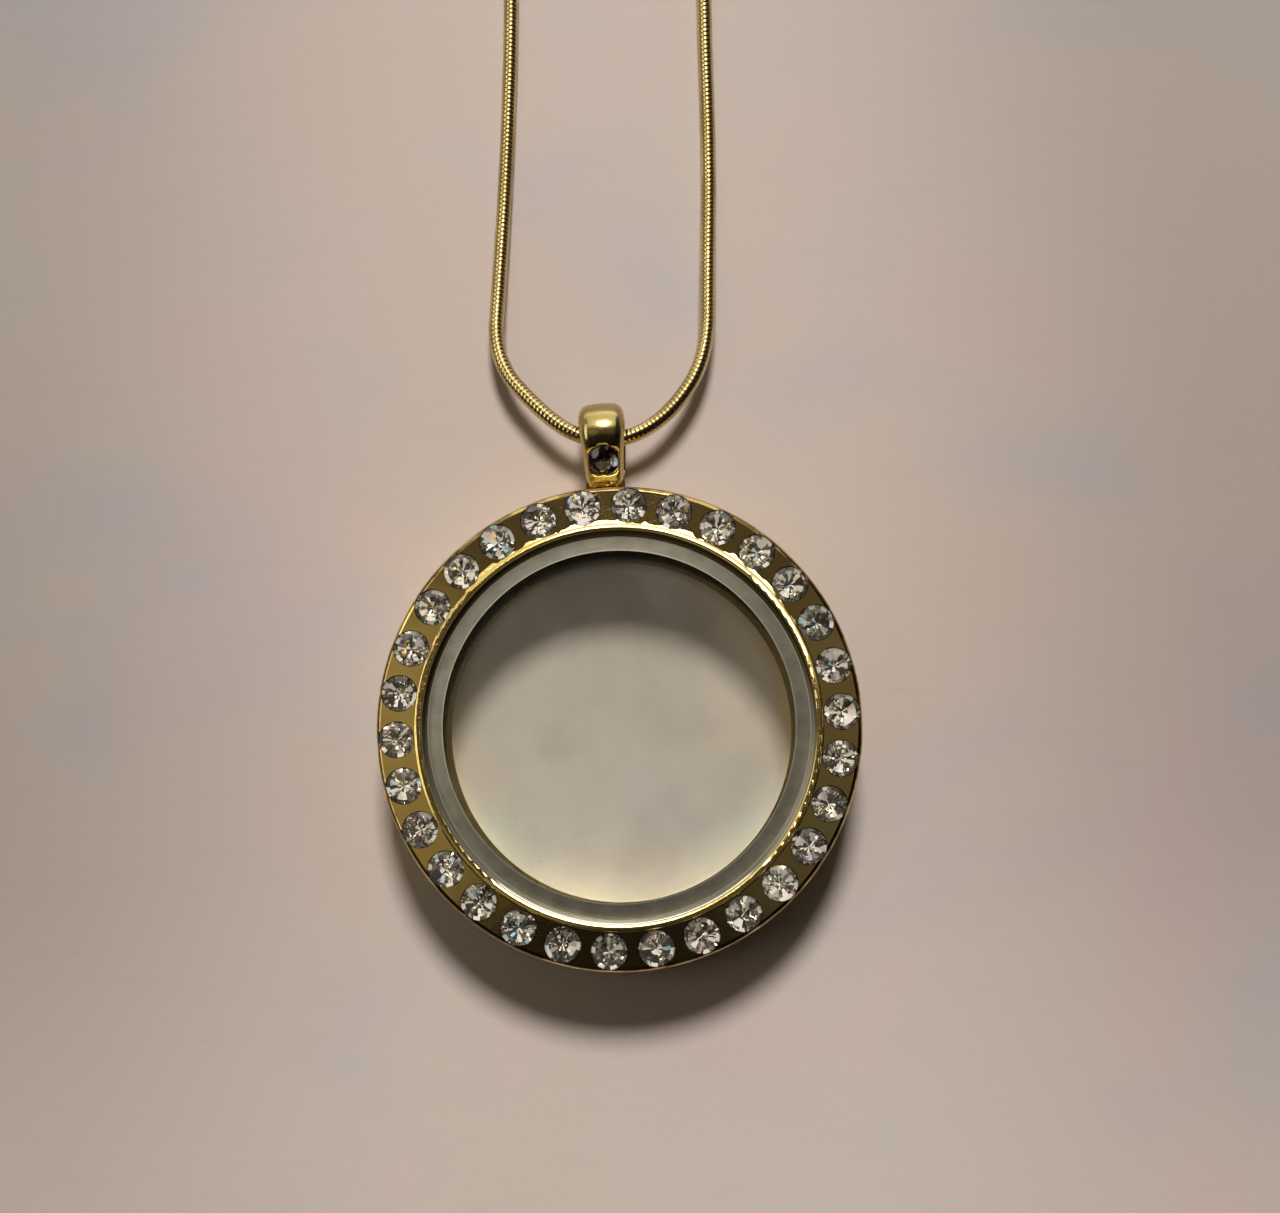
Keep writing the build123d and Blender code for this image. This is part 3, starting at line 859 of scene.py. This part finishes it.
# Cards: name, colour, degrees off the vertical, azimuth, distance, width, height, brightness
CARDS = [
    ("far_card", CARD_YELLOW, 48.0, 2.0, 0.60, 0.55, 0.50, 0.9),
    ("left_card", CARD_YELLOW, 47.0, 284.0, 0.50, 0.42, 0.20, 1.9),
    ("horizon_card", HORIZON_WHITE, 78.0, 0.0, 1.00, 1.50, 0.26, 1.1),
]
for placed in CARDS:
    card(*placed)

# ---- Room, seen only in polished surfaces -------------------------------------------------

NEAR_WALL = (0.07, 0.062, 0.055, 1.0)
FAR_WALL = (0.42, 0.39, 0.34, 1.0)
NEAR_CEILING = (0.012, 0.010, 0.008, 1.0)
FAR_CEILING = (0.066, 0.054, 0.036, 1.0)

# Soft lights on the ceiling: direction, inner and outer cosine, colour added in the middle
LOBES = [
    ((-0.27, 0.05, 0.96), 0.998, 0.974, (0.24, 0.205, 0.12, 1.0)),
    ((0.21, 0.00, 0.98), 0.997, 0.975, (0.07, 0.065, 0.05, 1.0)),
]


def room_world():
    """A dim room: darker near and to the right, paler at the far wall, with soft lights above."""
    world = bpy.data.worlds.new("room")
    world.use_nodes = True
    g = Graph(world.node_tree)
    toward = g.add("ShaderNodeTexCoord").outputs["Generated"]
    at = g.parts(toward)
    wall = g.mix(g.ramp(at["Y"], -0.4, 0.9, smooth=True), NEAR_WALL, FAR_WALL)
    ceiling = g.mix(g.ramp(at["Y"], -0.16, 0.26, smooth=True), NEAR_CEILING, FAR_CEILING)
    room = g.mix(g.ramp(at["Z"], 0.10, 0.65, smooth=True), wall, ceiling)
    room = g.mix(g.ramp(at["X"], 0.15, 0.65, 0.0, 0.6, smooth=True), room, BLACK)
    for axis, inner, outer, added in LOBES:
        facing = g.measure("DOT_PRODUCT", toward, Vector(axis).normalized())
        brighter = g.mix(1.0, room, added, "ADD")
        room = g.mix(g.ramp(facing, outer, inner, smooth=True), room, brighter)
    background = g.add("ShaderNodeBackground", {"Color": room, "Strength": 1.0})
    g.add("ShaderNodeOutputWorld", {"Surface": background.outputs["Background"]})
    return world


scene.world = room_world()
